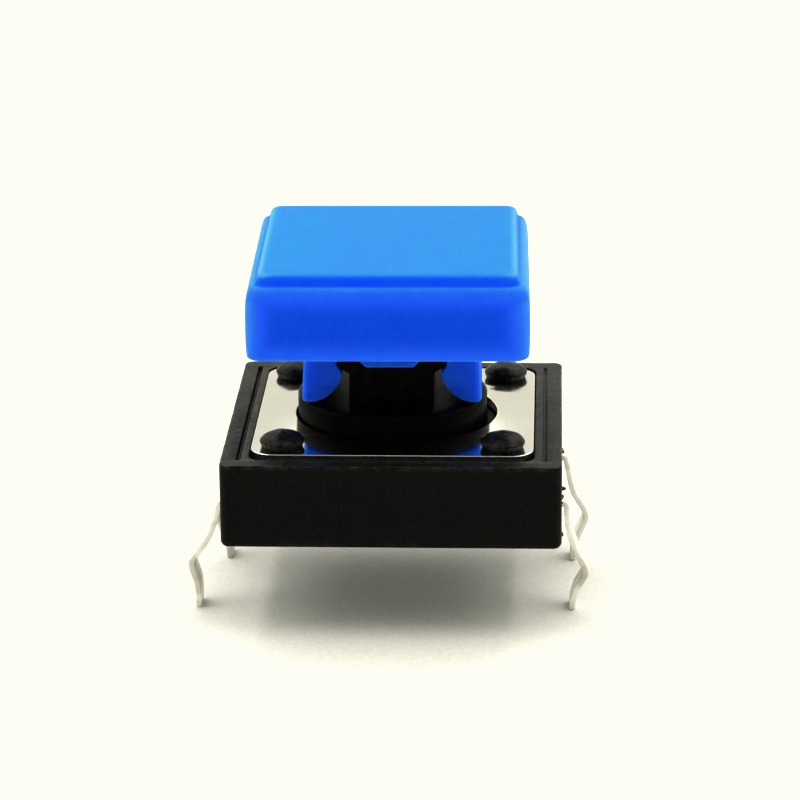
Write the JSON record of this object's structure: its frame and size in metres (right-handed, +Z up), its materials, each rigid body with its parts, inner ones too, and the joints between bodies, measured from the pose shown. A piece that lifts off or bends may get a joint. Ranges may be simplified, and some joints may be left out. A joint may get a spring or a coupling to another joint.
{
  "type": "tactile push button switch",
  "caption": "Through-hole tactile push button with a square black base, bright steel cover plate, kinked solder leads and a square blue cap that presses down and springs back.",
  "frame": {"origin": "centre of the base's flat underside, on the plane that seats on the board", "axes": "+Z up along the button's axis, away from the board; +X towards the right-hand leads, so the leads leave the base along -X and +X; +Y to the back"},
  "size_m": [0.0145, 0.012, 0.0131],
  "materials": {
    "black_base": "fine moulded grain, slightly rough",
    "bright_steel": "bright rolled steel, nearly mirror",
    "tinned_lead": "dull bright tin plate",
    "spring_steel": "satin",
    "black_plunger": "satin moulded",
    "blue_cap": "satin moulded, soft edges"
  },
  "bodies": {
    "housing": {"base": "black_base", "cover_plate": "bright_steel", "contact_strip_front": "tinned_lead", "contact_strip_rear": "tinned_lead", "snap_dome": "spring_steel"},
    "button": {"plunger": "black_plunger", "cap": "blue_cap"}
  },
  "joints": [
    {"name": "button_press", "type": "slide", "parent": "housing", "child": "button", "axis": [0, 0, -1], "range_m": [0, 0.0003], "stiffness_N_per_m": 6500, "deforming": ["snap_dome"]}
  ]
}
